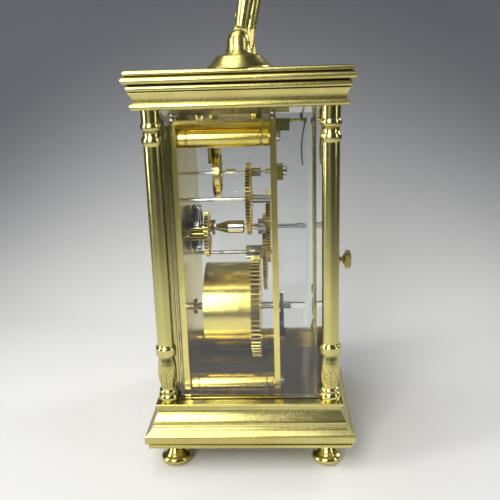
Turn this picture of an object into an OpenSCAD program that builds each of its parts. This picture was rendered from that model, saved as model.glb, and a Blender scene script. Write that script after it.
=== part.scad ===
// Carriage clock: glazed brass case on turned feet, bail handle, hinged rear door and an
// eight-day movement with a horizontal platform escapement.
// The dial faces -Y, the door faces +Y, and the underside of the feet is at z = 0.

/* [Base] */
// Width of the base across the dial side, left to right
base_w = 92.6; // [92:0.2:93.2]
// Depth of the base, front to back
base_d = 83.6; // [83:0.2:84.2]
// Height of the turned feet
foot_h = 10.8; // [10.4:0.1:11.2]
// Radius of the bun of a foot
foot_r = 6.3; // [5.5:0.1:7]

/* [Columns] */
// Distance from the clock's centre to a column's axis, left to right
col_x = 36.7; // [36.6:0.1:36.8]
// Distance from the clock's centre to a column's axis, front to back
col_y = 32.4; // [32.3:0.1:32.5]
// Radius of the plain shaft of a column
shaft_r = 3.42; // [3.3:0.02:3.5]

/* [Cornice] */
// Width of the cornice at its widest bead
cornice_w = 90; // [89:0.5:91]
// Depth of the cornice at its widest bead
cornice_d = 81.6; // [80.6:0.5:82.6]

/* [Handle] */
// Lean of the upright handle towards the back, in degrees
lean = 11; // [0:1:20]
// Height of the top bar above the handle's pivots
handle_rise = 33; // [31:0.5:36]

/* [Door] */
// Half of the door's width
door_half = 31.6; // [31:0.1:31.6]
// Radius of the milled door knob
knob_r = 3.65; // [3:0.05:4]

/* [Movement] */
// Half of the width of the movement plates
plate_half = 30; // [29:0.5:30.5]
// Thickness of the movement plates
plate_t = 2.3; // [2.1:0.1:2.4]
// Teeth of the great wheel on the barrel
great_teeth = 64; // [64:64]
// Teeth of the intermediate wheel
inter_teeth = 66; // [66:66]
// Teeth of the centre wheel
centre_teeth = 72; // [72:72]
// Teeth of the third wheel
third_teeth = 64; // [64:64]
// Teeth of the contrate wheel
contrate_teeth = 50; // [50:50]

/* [Hidden] */
$fn = 72;

// Heights of the case
ledge_z = 30.4;
cornice_z = 145.5;
cornice_top = 159.2;
floor_z = 26.4;
base_low = 12.6;
run = 0.04;
slack = 0.3;

// Glass panes: thickness, edge thickness, width of the bevel
pane_t = 2.4;
pane_edge = 1.1;
pane_bevel = 3.0;
groove = 0.8;
side_pane_x = col_x - 1.3;
front_pane_y = col_y - 0.8;

// Movement plates
front_y = -24.6;
back_y = 10.35;
plate_top = 139.5;
platform_z = plate_top;
platform_t = 1.4;
platform_half = 29.8;
pillar_x = 24;
pillar_r = 3.9;
pillar_low_z = 31.6;
pillar_high_z = 133.9;

// Tooth forms: addendum and dedendum in modules, then widths at the pitch circle, tip and
// root as shares of the angular pitch
WHEEL = [0.8, 1.1, 0.38, 0.10, 0.46];
LEAF = [0.5, 1.2, 0.30, 0.12, 0.30];

// Leaves of the pinions
inter_leaves = 8;
centre_leaves = 12;
third_leaves = 8;
contrate_leaves = 8;
escape_leaves = 6;
cannon_leaves = 12;
minute_teeth = 36;
minute_leaves = 10;
hour_teeth = 40;

// Modules of the meshes
m_great = 0.69;
m_inter = 0.512;
m_centre = 0.4225;
m_third = 0.45;
m_cannon = 0.5;
m_hour = 0.48;

// Arbor positions [x, z]. Each one stands at the mesh distances from its neighbours.
function polar(r, a) = [r * cos(a), r * sin(a)];
function mesh(n1, n2, m) = (n1 + n2) * m / 2;
function meet(p, q, rp, rq, side) =
    let(
        d = norm(q - p),
        along = (rp * rp - rq * rq + d * d) / (2 * d),
        across = sqrt(rp * rp - along * along),
        u = (q - p) / d
    )
    p + along * u + side * across * [u[1], -u[0]];
function bearing(p, q) = atan2(q[1] - p[1], q[0] - p[0]);
function band(r, w, from, to) = concat(
    [for (t = [0:0.125:1]) polar(r - w / 2, from + t * (to - from))],
    [for (t = [1:-0.125:0]) polar(r + w / 2, from + t * (to - from))]
);

barrel_at = [0, 57];
centre_at = [0, 93.1];
inter_at = meet(barrel_at, centre_at, mesh(great_teeth, inter_leaves, m_great),
    mesh(inter_teeth, centre_leaves, m_inter), -1);
third_at = centre_at + polar(mesh(centre_teeth, third_leaves, m_centre), 55.8);
contrate_at = third_at + polar(mesh(third_teeth, contrate_leaves, m_third), 146.1);
minute_at = centre_at + polar(mesh(minute_teeth, cannon_leaves, m_cannon), 0);

// Tooth phases. A wheel with a tooth at `phase` meets its mate in a gap of the mate.
function mate(n1, phase, theta, n2) = theta + 180 + 180 / n2 - (phase - theta) * n1 / n2;
great_phase = bearing(barrel_at, inter_at);
inter_leaf_phase = mate(great_teeth, great_phase, bearing(barrel_at, inter_at), inter_leaves);
inter_phase = bearing(inter_at, centre_at);
centre_leaf_phase = mate(inter_teeth, inter_phase, bearing(inter_at, centre_at), centre_leaves);
centre_phase = bearing(centre_at, third_at);
third_leaf_phase = mate(centre_teeth, centre_phase, bearing(centre_at, third_at), third_leaves);
third_phase = bearing(third_at, contrate_at);
contrate_leaf_phase = mate(third_teeth, third_phase, bearing(third_at, contrate_at),
    contrate_leaves);
minute_phase = bearing(minute_at, centre_at);
cannon_phase = mate(minute_teeth, minute_phase, bearing(minute_at, centre_at), cannon_leaves);
hour_phase = bearing(centre_at, minute_at);
minute_leaf_phase = mate(hour_teeth, hour_phase, bearing(centre_at, minute_at), minute_leaves);

// Contrate wheel and the upright escape arbor
contrate_r = 9.4;
contrate_tip_y = -14.3;
contrate_pitch_y = contrate_tip_y + 0.35;
escape_leaf_r = escape_leaves * contrate_r / contrate_teeth;
escape_at = [contrate_at[0], contrate_pitch_y - escape_leaf_r];
escape_wheel_r = 4.2;
escape_teeth = 15;

// Platform line: escape wheel, lever pivot and balance stand in one row
row_angle = 53;
lever_gap = 6;
balance_gap = 9;
lever_at = escape_at + polar(lever_gap, row_angle);
balance_at = lever_at + polar(balance_gap, row_angle);
balance_r = 8.5;

// Train planes along y
great_y = 0.7;
great_t = 3.9;
drum_y = -19.2;
drum_r = 19.6;
inter_y = 5.8;
inter_t = 1.6;
centre_y = 7.7;
centre_t = 1.8;
third_y = 0.1;
third_t = 1.8;
hour_y = -24;
hour_t = 3.4;
hour_groove = [-22.8, -21.6];
minute_y = -17.2;
minute_t = 1.6;
cannon_y = -17.4;
cannon_t = 3.2;

// Motion of the handle and the door
pivot_z = 167;
boss_x = 33;
hinge_at = [-30.4, 32.6];
door_y = 29.2;
door_t = 4.6;
door_low = 31;
door_high = 145;

// Hands: length, and angle clockwise from twelve
minute_len = 21;
hour_len = 14;
minute_angle = 60;
hour_angle = 305;
dial_r = 24.5;

brass = [0.79, 0.66, 0.33];
gold = [0.83, 0.62, 0.25];
steel = [0.72, 0.73, 0.75];
blued = [0.12, 0.15, 0.28];
clear = [0.8, 0.9, 0.92, 0.35];

// ---------- helpers ----------

module along_y(y0, y1) {
    translate([0, y1, 0]) rotate([90, 0, 0]) linear_extrude(y1 - y0) children();
}

module along_x(x0, x1) {
    translate([x0, 0, 0]) rotate([90, 0, 90]) linear_extrude(x1 - x0) children();
}

module rod_y(at, y0, y1, r) {
    translate([at[0], y0, at[1]]) rotate([-90, 0, 0]) cylinder(r = r, h = y1 - y0);
}

module cone_y(at, y0, y1, r0, r1) {
    translate([at[0], y0, at[1]]) rotate([-90, 0, 0]) cylinder(r1 = r0, r2 = r1, h = y1 - y0);
}

module rod_z(at, z0, z1, r) {
    translate([at[0], at[1], z0]) cylinder(r = r, h = z1 - z0);
}

module at_xz(p) {
    translate([p[0], 0, p[1]]) children();
}

module corners(x, y) {
    for (sx = [-1, 1]) for (sy = [-1, 1]) translate([sx * x, sy * y, 0]) children();
}

module box(x0, x1, y0, y1, z0, z1) {
    translate([x0, y0, z0]) cube([x1 - x0, y1 - y0, z1 - z0]);
}

// A profile is a list of [inset, z]; the solid's half width at each z is half - inset.
function silhouette(profile, half) = concat(
    [for (p = profile) [half - p[0], p[1]]],
    [for (i = [len(profile) - 1:-1:0]) [profile[i][0] - half, profile[i][1]]]
);

// Rectangular moulding with mitred corners
module moulding(profile, half_x, half_y) {
    intersection() {
        along_y(-half_y - 1, half_y + 1) polygon(silhouette(profile, half_x));
        along_x(-half_x - 1, half_x + 1) polygon(silhouette(profile, half_y));
    }
}

// Bead of a moulding: a half round from its lower to its upper edge
function bead(inset, z, r) = [for (a = [-90:22.5:90]) [inset + r - r * cos(a), z + r * sin(a)]];

function gear_points(n, m, form, phase) = [
    for (i = [0:n - 1])
        for (k = [[-1, -form[1], form[4]], [-1, 0, form[2]], [-1, form[0], form[3]],
                [1, form[0], form[3]], [1, 0, form[2]], [1, -form[1], form[4]]])
            let(r = n * m / 2 + k[1] * m, a = phase + (i + k[0] * k[2] / 2) * 360 / n)
            [r * cos(a), r * sin(a)]
];

module leaves(n, m, phase) {
    polygon(gear_points(n, m, LEAF, phase));
}

// Crossed-out wheel
module wheel(n, m, phase, rim, hub, spokes, width, bore) {
    inner = n * m / 2 - 1.1 * m - rim;
    difference() {
        polygon(gear_points(n, m, WHEEL, phase));
        difference() {
            circle(inner);
            circle(hub);
            for (i = [0:spokes - 1]) rotate(i * 360 / spokes) translate([0, -width / 2])
                square([inner + 1, width]);
        }
        circle(bore);
    }
}

// Bevelled pane, lying flat in x and y with its bevel on top
module pane(half_x, half_y) {
    moulding([[0, 0], [0, pane_edge], [pane_bevel, pane_t]], half_x, half_y);
}

// ---------- case ----------

function base_ogee(t) = [3.3 + 1.05 * (1 - cos(180 * pow(t, 0.9))), 21.8 + 6.6 * t];
base_profile = concat(
    [[1.35, base_low], [1.2, base_low + 0.15], [1.2, 14], [1.4, 14.2], [1.9, 14.3], [1.9, 14.6],
        [0.8, 14.8], [0.2, 15.3], [0, 16], [0, 17.9], [0.12, 18.4], [0.45, 18.75], [1.25, 19.3],
        [2.1, 20], [2.7, 20.6], [2.95, 21], [2.95, 21.6]],
    [for (t = [0:0.125:1]) base_ogee(t)],
    [[5.4, 28.9], [4.7, 29], [4.4, 29.2], [4.4, 30.2], [4.6, ledge_z]]
);
cavity_x = 32.4;
cavity_y = 29.2;
rebate = 1.2;
stud_r = 1.5;
tenon = 7;
foot_stud = 7;
foot_x = col_x - 0.9;
foot_y = col_y - 1.1;

module base_moulding() {
    color(brass) difference() {
        moulding(base_profile, base_w / 2, base_d / 2);
        box(-cavity_x, cavity_x, -cavity_y, cavity_y, base_low - 1, ledge_z + 1);
        box(-cavity_x - rebate, cavity_x + rebate, -cavity_y - rebate, cavity_y + rebate,
            base_low - 1, floor_z);
        corners(foot_x, foot_y) rod_z([0, 0], base_low - 1, base_low + foot_stud, stud_r);
        corners(col_x, col_y) rod_z([0, 0], ledge_z - tenon, ledge_z + 1, stud_r);
        translate([0, 0, ledge_z]) glazing_grooves();
        rod_z(hinge_at, 27, ledge_z + 1, pin_r + run);
    }
}

module base_plate() {
    color(brass) difference() {
        box(-cavity_x - rebate, cavity_x + rebate, -cavity_y - rebate, cavity_y + rebate,
            floor_z - 2.4, floor_z);
        for (sx = [-1, 1]) rod_z([sx * pillar_x, hold_y], floor_z - 3, floor_z + 1, hold_r);
    }
}

module feet() {
    color(brass) corners(foot_x, foot_y) translate([0, 0, base_low - foot_h]) rotate_extrude()
        polygon(concat(
            [[0, 0], [4.4, 0]],
            [for (a = [-60:15:75]) [foot_r - 1.9 + 1.9 * cos(a), 2 + 1.9 * sin(a)]],
            [for (t = [0:0.2:1]) [2.1 + 2.6 * pow(1 - t, 2), 4 + 5 * t]],
            [[3.2, foot_h - 1.2], [3.2, foot_h], [stud_r, foot_h], [stud_r, foot_h + foot_stud],
                [0, foot_h + foot_stud]]
        ));
}

// Turned column: torus, ring, vase, flange, plain shaft, two rings with a cove, neck
function swell(r, dr, z, h) = [for (t = [0:0.125:1]) [r + dr * sin(180 * t), z + h * t]];
column_profile = concat(
    [[0, ledge_z - tenon], [stud_r, ledge_z - tenon], [stud_r, ledge_z], [3.9, ledge_z]],
    swell(3.95, 0.4, 30.6, 2.8),
    [[3.6, 33.7]],
    swell(3.6, 0.3, 33.9, 1.6),
    [[3.1, 35.8], [3.1, 36.7]],
    swell(3.2, 0.75, 36.9, 12.4),
    [[3.15, 49.9], [4, 50.1], [4.2, 50.6], [4.2, 53.2], [4, 53.8], [3.6, 54], [shaft_r, 54.6],
        [shaft_r, 132.6], [3.7, 133.1]],
    swell(3.75, 0.3, 133.2, 2.4),
    [[3.5, 135.8], [3.25, 136.4], [3.2, 137.2], [3.35, 138.1]],
    swell(3.8, 0.3, 138.4, 2.3),
    [[3.55, 140.9], [3.62, cornice_z], [stud_r, cornice_z], [stud_r, cornice_z + 6],
        [0, cornice_z + 6]]
);

// One column, with a groove for each pane that it holds
module column(sx, sy) {
    color(brass) difference() {
        translate([sx * col_x, sy * col_y, 0]) rotate_extrude() polygon(column_profile);
        glazing_slots(sy);
    }
}

// Slots for the edges of the side panes, and of the front pane where sy is -1
module glazing_slots(sy) {
    reach_y = col_y - 2.2;
    reach_x = col_x - 2.2;
    for (sx = [-1, 1]) mirror([sx < 0 ? 1 : 0, 0, 0])
        box(side_pane_x, side_pane_x + pane_t, -reach_y, reach_y, ledge_z - groove,
            cornice_z + groove);
    if (sy < 0) box(-reach_x, reach_x, -front_pane_y - pane_t, -front_pane_y,
        ledge_z - groove, cornice_z + groove);
}

// Shallow grooves in the base and the cornice that take the ends of the panes
module glazing_grooves() {
    reach_y = col_y - 2.2;
    reach_x = col_x - 2.2;
    for (sx = [-1, 1]) mirror([sx < 0 ? 1 : 0, 0, 0])
        box(side_pane_x, side_pane_x + pane_t, -reach_y, reach_y, -groove, groove);
    box(-reach_x, reach_x, -front_pane_y - pane_t, -front_pane_y, -groove, groove);
}

cornice_profile = concat(
    bead(2.1, 146.8, 1.3),
    [for (t = [0:0.125:1]) [3.3 - 1.5 * t * t, 148.1 + 3.6 * t]],
    bead(1.4, 153.1, 1.3),
    [[1.9, 154.5]],
    bead(0, 155.8, 1.2),
    [[0.9, 157.1]],
    bead(0.8, 158.2, 1),
    [[2.6, cornice_top]]
);
top_window_x = 20;
top_window_y = 18.5;
top_rebate_z = 157.9;

module cornice() {
    color(brass) difference() {
        moulding(cornice_profile, cornice_w / 2, cornice_d / 2);
        box(-31, 31, -26.5, 26.5, cornice_z - 1, 155.2);
        box(-top_window_x - 2.6, top_window_x + 2.6, -top_window_y - 2.6, top_window_y + 2.6,
            155, top_rebate_z);
        box(-top_window_x, top_window_x, -top_window_y, top_window_y, 155, cornice_top + 1);
        corners(col_x, col_y) rod_z([0, 0], cornice_z - 1, cornice_z + 6, stud_r);
        translate([0, 0, cornice_z]) glazing_grooves();
        rod_z(hinge_at, cornice_z - 1, cornice_z + 2.4, pin_r + run);
        for (sx = [-1, 1]) rod_z([sx * boss_x, 0], cornice_top - boss_stud, cornice_top + 1, 1.2);
    }
}

module top_glass() {
    color(clear) translate([0, 0, top_rebate_z - pane_t])
        pane(top_window_x + 2.6, top_window_y + 2.6);
}

pane_mid_z = (ledge_z + cornice_z) / 2;
pane_half_z = (cornice_z - ledge_z) / 2 + groove - 0.1;

module front_glass() {
    color(clear) translate([0, -front_pane_y, pane_mid_z]) rotate([90, 0, 0])
        pane(col_x - 2.3, pane_half_z);
}

module side_pane() {
    translate([side_pane_x, 0, pane_mid_z]) rotate([90, 0, 90]) pane(col_y - 2.3, pane_half_z);
}

module left_glass() {
    color(clear) mirror([1, 0, 0]) side_pane();
}

module right_glass() {
    color(clear) side_pane();
}

// ---------- rear door ----------

door_rail = 4.4;
pin_r = 0.9;
door_mid_z = (door_low + door_high) / 2;
door_half_z = (door_high - door_low) / 2;

module door_frame() {
    color(gold) difference() {
        box(-door_half, door_half, door_y, door_y + door_t, door_low, door_high);
        box(-door_half + door_rail, door_half - door_rail, door_y - 1, door_y + door_t + 1,
            door_low + door_rail, door_high - door_rail);
        box(-door_half + door_rail - 1.6, door_half - door_rail + 1.6, door_y + 1, door_y + 3.4,
            door_low + door_rail - 1.6, door_high - door_rail + 1.6);
        rod_z(hinge_at, door_low - 1, door_low + 2.5, pin_r);
        rod_z(hinge_at, door_high - 2.5, door_high + 1, pin_r);
        rod_y(knob_at, door_y + 3.5, door_y + door_t + 1, knob_stem_r);
    }
}

module door_glass() {
    color(clear) translate([0, door_y + 3.4, door_mid_z]) rotate([-90, 0, 0]) mirror([0, 0, 1])
        pane(door_half - door_rail + 1.6, door_half_z - door_rail + 1.6);
}

module door_pins() {
    color(steel) {
        rod_z(hinge_at, 27.2, door_low + 2.5, pin_r);
        rod_z(hinge_at, door_high - 2.5, cornice_z + 2.2, pin_r);
    }
}

knob_at = [29.4, 86];
knob_stem_r = 1.1;
knob_y = 38.7;
module door_knob() {
    color(brass) union() {
        rod_y(knob_at, door_y + 3.5, knob_y - 0.4, knob_stem_r);
        cone_y(knob_at, door_y + door_t, door_y + door_t + 1.2, 2.4, 1.5);
        cone_y(knob_at, knob_y - 1, knob_y, 1.5, knob_r - 0.5);
        at_xz(knob_at) along_y(knob_y, knob_y + 1.8)
            polygon(gear_points(40, 2 * knob_r / 41, [0.5, 0.5, 0.5, 0.1, 0.9], 0));
        cone_y(knob_at, knob_y + 1.8, knob_y + 2.2, knob_r - 0.5, knob_r - 1.2);
    }
}

// ---------- handle ----------

boss_stud = 2.6;
boss_profile = concat(
    [[0, cornice_top - boss_stud], [1.2, cornice_top - boss_stud], [1.2, cornice_top],
        [11.7, cornice_top], [11.4, 159.7]],
    [for (t = [0:0.2:1]) [11.2 - 3 * t, 159.9 + 3.3 * pow(t, 1.15)]],
    [[7.7, 163.5], [5.6, 163.7], [4.9, 164.2], [4.4, 165.3], [4.15, 166.6]],
    [for (a = [0:15:90]) [4.06 * cos(a), 168.1 + 4.06 * sin(a)]]
);
boss_flat_x = 31.6;
handle_pin_r = 1.1;
handle_pin_end = 35;

module handle_boss() {
    color(brass) difference() {
        translate([boss_x, 0, 0]) rotate_extrude() polygon(boss_profile);
        box(boss_x - 8, boss_flat_x, -8, 8, 164, 175);
        translate([boss_flat_x - 1, 0, pivot_z]) rotate([0, 90, 0])
            cylinder(r = handle_pin_r + run, h = handle_pin_end + 0.2 - boss_flat_x + 1);
    }
}

module handle_boss_left() {
    mirror([1, 0, 0]) handle_boss();
}

module handle_boss_right() {
    handle_boss();
}

module leaning() {
    translate([0, 0, pivot_z]) rotate([-lean, 0, 0]) children();
}

arm_x = 31.5;
tongue_in = 29.1;
tongue_out = 31.4;
arm_low = 6.2;
arm_r = 2.35;
bail_r = 2.95;
bend_r = 10;
grip_half = 12;

// Half of the bail: tongue, arm, bend and half of the top bar
module bail_half() {
    difference() {
        along_x(tongue_in, tongue_out) union() {
            polygon([[-1.5, -2.1], [1.5, -2.1], [2.1, -0.6], [2.5, 2.6], [2.3, 6], [2.1, 9.5],
                [-2.1, 9.5], [-2.3, 6], [-2.5, 2.6], [-2.1, -0.6]]);
        }
        translate([tongue_in - 1, 0, 0]) rotate([0, 90, 0])
            cylinder(r = handle_pin_r, h = tongue_out - tongue_in + 2);
    }
    difference() {
        translate([arm_x - 0.5, 0, 9.2]) cylinder(r = 2.9, h = 1.3);
        box(arm_x, arm_x + 5, -5, 5, 9, 12);
    }
    translate([arm_x, 0, arm_low]) cylinder(r1 = arm_r, r2 = bail_r, h = 11);
    translate([arm_x, 0, arm_low + 11]) cylinder(r = bail_r, h = handle_rise - bend_r - arm_low - 11);
    translate([arm_x - bend_r, 0, handle_rise - bend_r]) rotate([90, 0, 0])
        rotate_extrude(angle = 90) translate([bend_r, 0]) circle(bail_r);
    translate([0, 0, handle_rise]) rotate([0, 90, 0]) cylinder(r = bail_r, h = arm_x - bend_r);
    translate([0, 0, handle_rise]) rotate([0, 90, 0]) rotate_extrude() polygon(concat(
        [[0, 0]],
        [for (t = [0:0.125:1]) [3.2 + 1.1 * cos(90 * t), (grip_half - 2.6) * t]],
        [[3.9, grip_half - 2.4], [3.9, grip_half - 1.2], [3.3, grip_half - 1],
            [3.3, grip_half], [0, grip_half]]
    ));
}

module handle() {
    color(brass) leaning() union() {
        bail_half();
        mirror([1, 0, 0]) bail_half();
    }
}

module handle_pins() {
    color(steel) for (sx = [0, 1]) mirror([sx, 0, 0])
        translate([tongue_in - 0.3, 0, pivot_z]) rotate([0, 90, 0])
            cylinder(r = handle_pin_r, h = handle_pin_end - tongue_in + 0.3);
}

// ---------- frame of the movement ----------

pivot_r = 0.5;
foot_pin_r = 1;
dial_feet = [[-27, 40], [27, 40], [-27, 126], [27, 126]];
platform_screw_x = 27.4;

module plate_outline() {
    difference() {
        translate([-plate_half, floor_z]) square([2 * plate_half, plate_top - floor_z]);
        for (p = [inter_at, third_at, contrate_at]) translate(p) circle(pivot_r + run);
    }
}

module platform_screw_holes() {
    for (sx = [-1, 1]) for (y = [front_y - plate_t / 2, back_y + plate_t / 2])
        rod_z([sx * platform_screw_x, y], platform_z - 4, platform_z + platform_t + 1, 0.6);
}

barrel_boss_t = 0.9;
module front_plate() {
    color(gold) difference() {
        union() {
            along_y(front_y - plate_t, front_y) plate_outline();
            rod_y(barrel_at, front_y - 1, front_y + barrel_boss_t, 3.3);
        }
        along_y(front_y - plate_t - 1, front_y + 2) {
            translate(barrel_at) circle(1.2 + run);
            translate(centre_at) circle(hour_pipe_r + run);
            translate(minute_at) circle(0.9);
            for (p = dial_feet) translate(p) circle(foot_pin_r);
            for (sx = [-1, 1]) for (z = [pillar_low_z, pillar_high_z])
                translate([sx * pillar_x, z]) circle(1.6);
        }
        platform_screw_holes();
    }
}

module back_plate() {
    color(gold) difference() {
        along_y(back_y, back_y + plate_t) difference() {
            plate_outline();
            translate(barrel_at) circle(winding_r + run);
            translate(centre_at) circle(0.9 + run);
            translate(click_at) circle(click_pin_r);
            for (p = screw_places) translate([p[0], p[1]]) circle(screw_r);
        }
        platform_screw_holes();
    }
}

pillar_len = back_y - front_y;
hold_y = -7.5;
hold_r = 1.3;
module pillar_body() {
    rotate([-90, 0, 0]) rotate_extrude() polygon([[0, -plate_t], [1.6, -plate_t], [1.6, 0],
        [pillar_r - 0.4, 0], [pillar_r, 0.5], [pillar_r, 3], [pillar_r - 0.3, 3.2],
        [pillar_r - 0.3, 3.6], [pillar_r, 3.8], [pillar_r, pillar_len - 3.8],
        [pillar_r - 0.3, pillar_len - 3.6], [pillar_r - 0.3, pillar_len - 3.2],
        [pillar_r, pillar_len - 3], [pillar_r, pillar_len - 0.5],
        [pillar_r - 0.4, pillar_len], [screw_r, pillar_len], [screw_r, pillar_len - 5],
        [0, pillar_len - 5]]);
}

module pillars() {
    color(gold) difference() {
        for (sx = [-1, 1]) for (z = [pillar_low_z, pillar_high_z])
            translate([sx * pillar_x, front_y, z]) pillar_body();
        for (sx = [-1, 1]) rod_z([sx * pillar_x, hold_y], floor_z, pillar_low_z + 6, hold_r);
    }
}

// One pattern of screw holds the pillars and the contrate arbor's end cock
screw_r = 1.1;
end_cock_t = 2.6;
end_screw_at = contrate_at + [4, 0.8];
screw_places = [[-pillar_x, pillar_low_z, 0], [pillar_x, pillar_low_z, 0],
    [-pillar_x, pillar_high_z, 0], [pillar_x, pillar_high_z, 0],
    [end_screw_at[0], end_screw_at[1], end_cock_t]];
module pillar_screws() {
    color(steel) for (p = screw_places) difference() {
        translate([p[0], p[2], p[1]]) union() {
            rod_y([0, 0], back_y - 5, back_y + plate_t, screw_r);
            rod_y([0, 0], back_y + plate_t, back_y + plate_t + 1.2, 2.1);
            cone_y([0, 0], back_y + plate_t + 1.2, back_y + plate_t + 1.7, 2.1, 1.4);
        }
        box(p[0] - 3, p[0] + 3, back_y + plate_t + p[2] + 1.1, back_y + plate_t + p[2] + 3,
            p[1] - 0.3, p[1] + 0.3);
    }
}

module movement_screws() {
    color(steel) for (sx = [-1, 1]) translate([sx * pillar_x, hold_y, 0]) difference() {
        union() {
            rod_z([0, 0], floor_z - 2.4, pillar_low_z + pillar_r + 0.3, hold_r);
            rod_z([0, 0], floor_z - 4.2, floor_z - 2.4, 2.6);
        }
        box(-3, 3, -0.35, 0.35, floor_z - 5, floor_z - 3.5);
    }
}

// ---------- dial, hands and motion work ----------

dial_front = -28.9;
dial_back = -27.2;

module dial_plate() {
    color(brass) union() {
        difference() {
            along_y(dial_front, dial_back) polygon([[-plate_half, 27], [plate_half, 27],
                [plate_half, plate_top - 0.3], [-plate_half, plate_top - 0.3]]);
            rod_y(centre_at, dial_front - 1, dial_back + 1, dial_r);
            rod_y(centre_at, dial_front + 0.8, dial_back + 1, dial_r + 2.4);
        }
        for (p = dial_feet) rod_y(p, dial_back, front_y, foot_pin_r);
    }
}

module dial() {
    color("white") at_xz(centre_at) along_y(dial_front + 0.8, dial_back) difference() {
        circle(dial_r + 2.3);
        circle(hour_pipe_r + 0.3);
    }
}

// Outline of a hand that points up: boss ring, tapered blade, moon and tip
module hand_2d(len, boss, bore, moon) {
    difference() {
        union() {
            circle(boss);
            polygon([[-0.8, 0], [0.8, 0], [0.45, len * 0.68], [-0.45, len * 0.68]]);
            translate([0, len * 0.72]) circle(moon);
            polygon([[-0.55, len * 0.74], [0.55, len * 0.74], [0.06, len], [-0.06, len]]);
        }
        circle(bore);
        translate([0, len * 0.72]) circle(moon * 0.55);
    }
}

minute_hand_y = -30.8;
hour_hand_y = -29.9;
hand_t = 0.4;
cannon_pipe_r = 1.5;
hour_pipe_r = 2.7;
hour_pipe_tip_r = 2.1;

module minute_hand() {
    color(blued) at_xz(centre_at) along_y(minute_hand_y, minute_hand_y + hand_t)
        rotate(-minute_angle) hand_2d(minute_len, 1.9, 1.1, 1.3);
}

module hour_hand() {
    color(blued) at_xz(centre_at) along_y(hour_hand_y, hour_hand_y + hand_t)
        rotate(-hour_angle) hand_2d(hour_len, 2.9, hour_pipe_tip_r, 1.6);
}

module cannon_pinion() {
    color(steel) at_xz(centre_at) difference() {
        union() {
            along_y(cannon_y, cannon_y + cannon_t) leaves(cannon_leaves, m_cannon, cannon_phase);
            rod_y([0, 0], minute_hand_y + hand_t, cannon_y, cannon_pipe_r);
            rod_y([0, 0], minute_hand_y - 0.2, minute_hand_y + hand_t, 1.1);
        }
        rod_y([0, 0], minute_hand_y - 1, cannon_y + cannon_t + 1, 0.9);
    }
}

module minute_wheel() {
    color(gold) at_xz(minute_at) difference() {
        union() {
            along_y(minute_y, minute_y + minute_t)
                wheel(minute_teeth, m_cannon, minute_phase, 1.1, 2.6, 4, 1.2, 0.4);
            along_y(hour_y, minute_y) leaves(minute_leaves, m_hour, minute_leaf_phase);
        }
        rod_y([0, 0], hour_y - 1, minute_y + minute_t + 1, 0.9 + run);
    }
}

module minute_stud() {
    color(steel) union() {
        rod_y(minute_at, front_y - plate_t, minute_y + minute_t + 0.3, 0.9);
        rod_y(minute_at, front_y, hour_y - 0.2, 1.7);
        rod_y(minute_at, minute_y + minute_t + 0.3, minute_y + minute_t + 0.9, 1.6);
    }
}

module hour_wheel() {
    color(steel) at_xz(centre_at) difference() {
        union() {
            along_y(hour_y, hour_groove[0])
                wheel(hour_teeth, m_hour, hour_phase, 1.2, 3.4, 4, 1.3, 1);
            along_y(hour_groove[0], hour_groove[1]) difference() {
                circle(hour_teeth * m_hour / 2 - 1.1);
                circle(hour_teeth * m_hour / 2 - 2);
            }
            along_y(hour_groove[1], hour_y + hour_t)
                wheel(hour_teeth, m_hour, hour_phase, 1.2, 3.4, 4, 1.3, 1);
            rod_y([0, 0], hour_hand_y + hand_t, hour_y + hour_t, hour_pipe_r);
            rod_y([0, 0], hour_hand_y, hour_hand_y + hand_t, hour_pipe_tip_r);
        }
        rod_y([0, 0], hour_hand_y - 1, hour_y + hour_t + 1, cannon_pipe_r + run);
    }
}

// ---------- barrel and winding work ----------

winding_r = 1.5;
spring_hub_r = 4.5;
cap_t = 1.3;
drum_end = great_y;

module barrel() {
    color(gold) difference() {
        rod_y(barrel_at, drum_y, drum_end, drum_r);
        rod_y(barrel_at, drum_y - 1, drum_end + 1, drum_r - 1.4);
        rod_y(barrel_at, drum_y - 1, drum_y + cap_t, drum_r - 0.8);
    }
}

module barrel_cap() {
    color(gold) at_xz(barrel_at) along_y(drum_y, drum_y + cap_t) difference() {
        circle(drum_r - 0.8);
        circle(winding_r + run);
        translate([0, drum_r - 3.2]) square([3, 1.2], center = true);
    }
}

module great_wheel() {
    color(gold) at_xz(barrel_at) along_y(great_y, great_y + great_t) difference() {
        polygon(gear_points(great_teeth, m_great, WHEEL, great_phase));
        circle(winding_r + run);
    }
}

// Flat spiral strip from the hub to the drum
function spiral(r0, r1, turns, t) = concat(
    [for (i = [0:turns * 24]) let(r = r0 + (r1 - r0) * i / (turns * 24)) polar(r, i * 15)],
    [for (i = [turns * 24:-1:0]) let(r = r0 + (r1 - r0) * i / (turns * 24) + t) polar(r, i * 15)]
);

module mainspring() {
    color(steel) at_xz(barrel_at) along_y(drum_y + cap_t + 0.6, drum_end - 0.6)
        polygon(spiral(spring_hub_r + 0.1, drum_r - 2, 7, 0.45));
}

module winding_arbor() {
    color(steel) at_xz(barrel_at) union() {
        rod_y([0, 0], front_y - plate_t + 0.2, front_y + barrel_boss_t + 0.3, 1.2);
        rod_y([0, 0], front_y + barrel_boss_t + 0.3, drum_y + cap_t + 0.3, winding_r);
        rod_y([0, 0], drum_y + cap_t + 0.3, drum_end - 0.3, spring_hub_r);
        rod_y([0, 0], drum_end - 0.4, 17.7, winding_r);
        along_y(17.7, 24.4) square(2.1, center = true);
    }
}

ratchet_teeth = 24;
ratchet_r = 6.6;
ratchet_y = back_y + plate_t + 0.35;
ratchet_t = 1.5;
module ratchet_wheel() {
    color(steel) at_xz(barrel_at) along_y(ratchet_y, ratchet_y + ratchet_t) difference() {
        polygon([for (i = [0:ratchet_teeth - 1]) for (k = [0, 1])
            polar(ratchet_r - 0.9 * k, (i + 0.12 * k) * 360 / ratchet_teeth)]);
        circle(winding_r);
    }
}

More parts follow.
